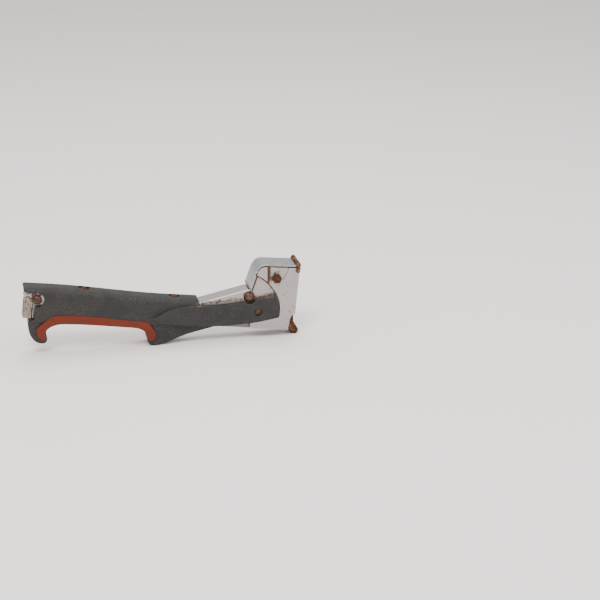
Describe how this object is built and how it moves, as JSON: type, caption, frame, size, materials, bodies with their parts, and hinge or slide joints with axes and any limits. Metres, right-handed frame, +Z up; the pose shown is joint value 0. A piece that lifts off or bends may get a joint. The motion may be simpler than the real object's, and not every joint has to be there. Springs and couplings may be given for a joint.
{
  "type": "hammer tacker",
  "caption": "Worn hammer tacker staple gun with a plated steel head, a swinging staple magazine and a moulded two-hook handle.",
  "frame": {"origin": "centre of the bounding box in X and Y, on the table plane on which the tool rests", "axes": "+X towards the head, -Y the side with the bolt head, +Z up"},
  "size_m": [0.3104, 0.0394, 0.0874],
  "materials": {
    "grip_plastic": "fine moulded grain, worn and dusty",
    "insert_rubber": "soft brick red moulding, dirty on the underside",
    "plated_steel": "satin zinc plating with fine rust specks",
    "rusty_steel": "brown rust, polished on the high spots",
    "bright_chrome": "pitted chrome",
    "tool_steel": "oiled bare steel",
    "spring_wire": "dark spring wire",
    "bumper_rubber": "black rubber"
  },
  "bodies": {
    "frame": {"frame_channel": "plated_steel", "cheek_bolt_side": "plated_steel", "cheek_nut_side": "plated_steel", "head_cap": "plated_steel", "bolt_bracket": "plated_steel", "head_bolt": "rusty_steel", "head_nut": "rusty_steel", "bolt_sleeve": "tool_steel", "spring_cup": "tool_steel", "return_spring": "spring_wire", "blade_holder": "tool_steel", "driver_blade": "tool_steel", "blade_rivets": "tool_steel", "bumper": "bumper_rubber", "handle_grip": "grip_plastic", "grip_insert": "insert_rubber", "handle_screws": "rusty_steel", "forearm_rivets": "rusty_steel", "channel_rivet": "rusty_steel", "pivot_rivet": "rusty_steel"},
    "magazine": {"magazine_channel": "plated_steel", "staple_rail": "tool_steel", "nose_plate": "rusty_steel", "nose_rivets": "rusty_steel", "spring_seat": "tool_steel"},
    "loader": {"end_cap": "bright_chrome", "pusher_rod": "tool_steel", "pusher_spring": "spring_wire", "latch_pin": "tool_steel"},
    "pusher": {"pusher": "tool_steel"},
    "latch": {"latch_lever": "bright_chrome"}
  },
  "joints": [
    {"name": "magazine_swing", "type": "hinge", "parent": "frame", "child": "magazine", "pos_m": [-0.13895, 0, 0.06403], "axis": [0, -1, 0], "range_deg": [0, 1.75], "stiffness_Nm_per_rad": 200, "springref_deg": -1.72, "deforming": ["return_spring"]},
    {"name": "loader_slide", "type": "slide", "parent": "magazine", "child": "loader", "axis": [-0.9916, 0, 0.1295], "range_m": [0, 0.15]},
    {"name": "pusher_slide", "type": "slide", "parent": "loader", "child": "pusher", "axis": [-0.9916, 0, 0.1295], "range_m": [0, 0.235], "stiffness_N_per_m": 25, "springref_m": -0.1, "deforming": ["pusher_spring"]},
    {"name": "latch_press", "type": "hinge", "parent": "loader", "child": "latch", "pos_m": [-0.15169, 0, 0.05968], "axis": [0, -1, 0], "range_deg": [0, 5], "stiffness_Nm_per_rad": 0.3, "springref_deg": -5.73}
  ]
}
